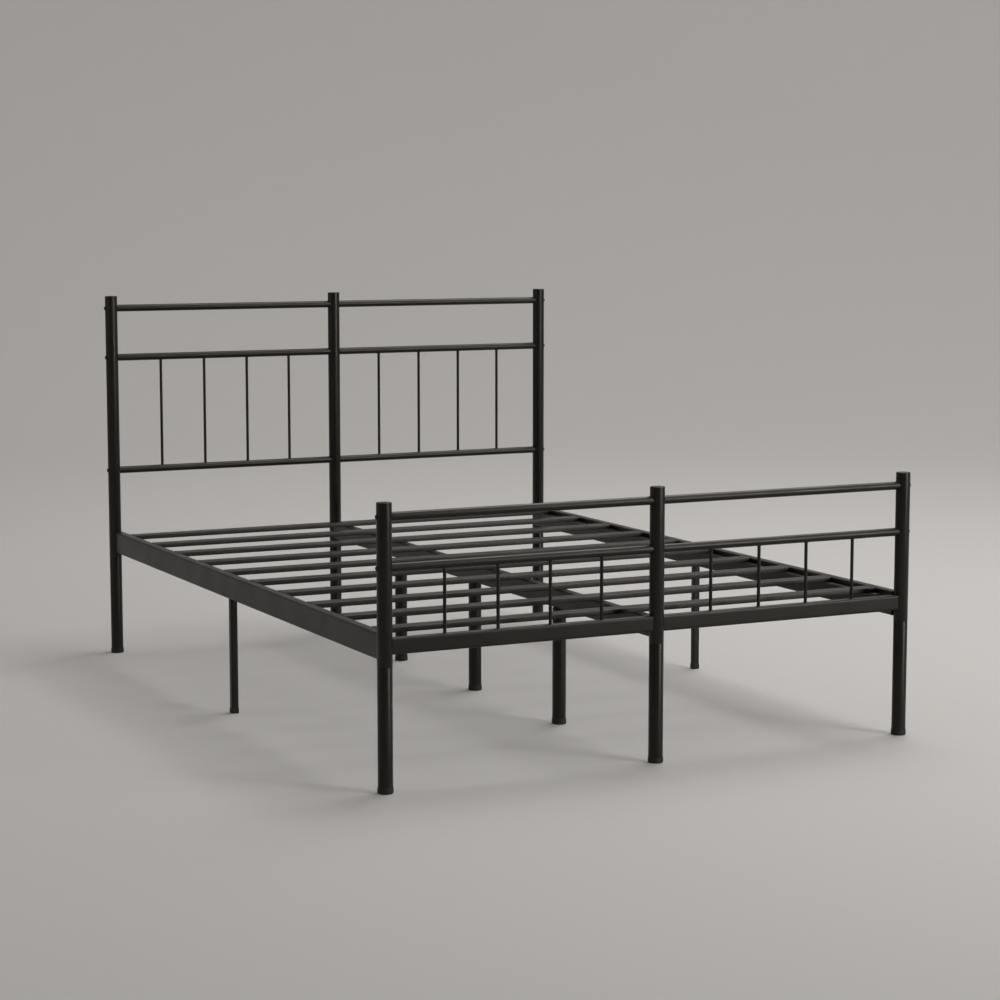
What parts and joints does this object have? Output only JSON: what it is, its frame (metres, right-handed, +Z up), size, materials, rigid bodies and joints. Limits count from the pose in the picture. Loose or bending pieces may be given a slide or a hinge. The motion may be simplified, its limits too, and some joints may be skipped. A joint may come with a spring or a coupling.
{
  "type": "metal bed frame",
  "caption": "Black steel bed frame with round posts, a tall spindle headboard, a low spindle footboard, side rails, slats and a centre rail on legs.",
  "frame": {"origin": "on the floor, under the middle of the frame", "axes": "+X to the right seen from the foot end, +Y from the foot to the head, +Z up"},
  "size_m": [1.4262, 1.9816, 1.04],
  "materials": {
    "black_powder_coat": "satin black powder coat",
    "black_plastic": "matte black moulded plastic",
    "black_bolt": "black oxide steel"
  },
  "bodies": {
    "root": {"head_post_left": "black_powder_coat", "head_leg_left": "black_powder_coat", "head_leg_left_pad": "black_plastic", "head_post_centre": "black_powder_coat", "head_leg_centre": "black_powder_coat", "head_leg_centre_pad": "black_plastic", "head_post_right": "black_powder_coat", "head_leg_right": "black_powder_coat", "head_leg_right_pad": "black_plastic", "head_top_rail_left": "black_powder_coat", "head_spindle_panel_left": "black_powder_coat", "head_bolt_left_top": "black_bolt", "head_bolt_left_second": "black_bolt", "head_bolt_left_lower": "black_bolt", "head_top_rail_right": "black_powder_coat", "head_spindle_panel_right": "black_powder_coat", "head_bolt_right_top": "black_bolt", "head_bolt_right_second": "black_bolt", "head_bolt_right_lower": "black_bolt", "foot_post_left": "black_powder_coat", "foot_leg_left": "black_powder_coat", "foot_leg_left_pad": "black_plastic", "foot_post_centre": "black_powder_coat", "foot_leg_centre": "black_powder_coat", "foot_leg_centre_pad": "black_plastic", "foot_post_right": "black_powder_coat", "foot_leg_right": "black_powder_coat", "foot_leg_right_pad": "black_plastic", "foot_top_rail_left": "black_powder_coat", "foot_spindle_panel_left": "black_powder_coat", "foot_bolt_left_top": "black_bolt", "foot_bolt_left_second": "black_bolt", "foot_top_rail_right": "black_powder_coat", "foot_spindle_panel_right": "black_powder_coat", "foot_bolt_right_top": "black_bolt", "foot_bolt_right_second": "black_bolt", "side_rail_left": "black_powder_coat", "side_leg_left": "black_powder_coat", "side_leg_left_pad": "black_plastic", "side_rail_right": "black_powder_coat", "side_leg_right": "black_powder_coat", "side_leg_right_pad": "black_plastic", "centre_rail": "black_powder_coat", "centre_leg_1": "black_powder_coat", "centre_leg_1_pad": "black_plastic", "centre_leg_2": "black_powder_coat", "centre_leg_2_pad": "black_plastic", "centre_leg_3": "black_powder_coat", "centre_leg_3_pad": "black_plastic", "slat_01": "black_powder_coat", "slat_02": "black_powder_coat", "slat_03": "black_powder_coat", "slat_04": "black_powder_coat", "slat_05": "black_powder_coat", "slat_06": "black_powder_coat", "slat_07": "black_powder_coat", "slat_08": "black_powder_coat", "slat_09": "black_powder_coat", "slat_10": "black_powder_coat"}
  },
  "joints": []
}
